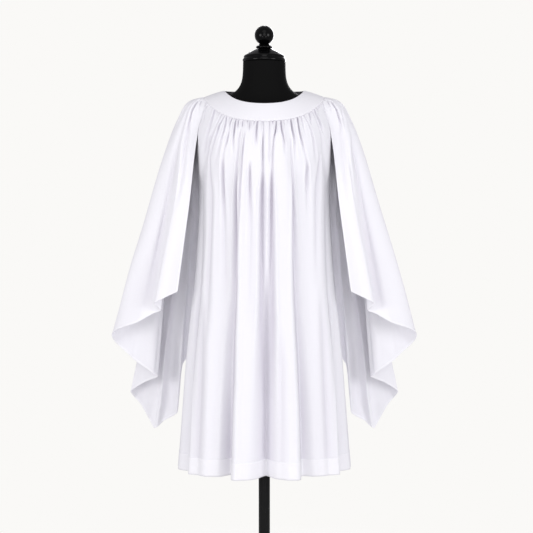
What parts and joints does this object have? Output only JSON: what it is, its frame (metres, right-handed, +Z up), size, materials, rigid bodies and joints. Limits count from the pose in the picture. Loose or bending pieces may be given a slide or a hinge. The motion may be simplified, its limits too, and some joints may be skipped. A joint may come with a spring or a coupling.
{
  "type": "surplice on a dress form",
  "caption": "White choir surplice with a round yoke, gathered front and back and long pointed split sleeves, hung on a black limbless dress form with neck cap, ball finial, pole and round base.",
  "frame": {"origin": "on the floor under the centre of the stand's round base, which is the centre of the bounding box in plan", "axes": "+Z up along the pole; the garment's front faces -Y; the sleeve that hangs at the viewer's left from the front is at -X"},
  "size_m": [0.856, 0.38, 1.639],
  "materials": {
    "white_cloth": "plain-woven white cotton and polyester, matt",
    "black_jersey": "black jersey stretched over the form, matt",
    "black_lacquer": "turned wood, gloss black lacquer",
    "black_steel": "satin black powder coat"
  },
  "bodies": {
    "root": {"yoke": "white_cloth", "front": "white_cloth", "back": "white_cloth", "sleeve_left": "white_cloth", "sleeve_right": "white_cloth", "form_torso": "black_jersey", "form_neck_cap": "black_lacquer", "form_finial": "black_lacquer", "stand_pole": "black_steel", "stand_socket": "black_steel", "stand_base": "black_steel"}
  },
  "joints": []
}
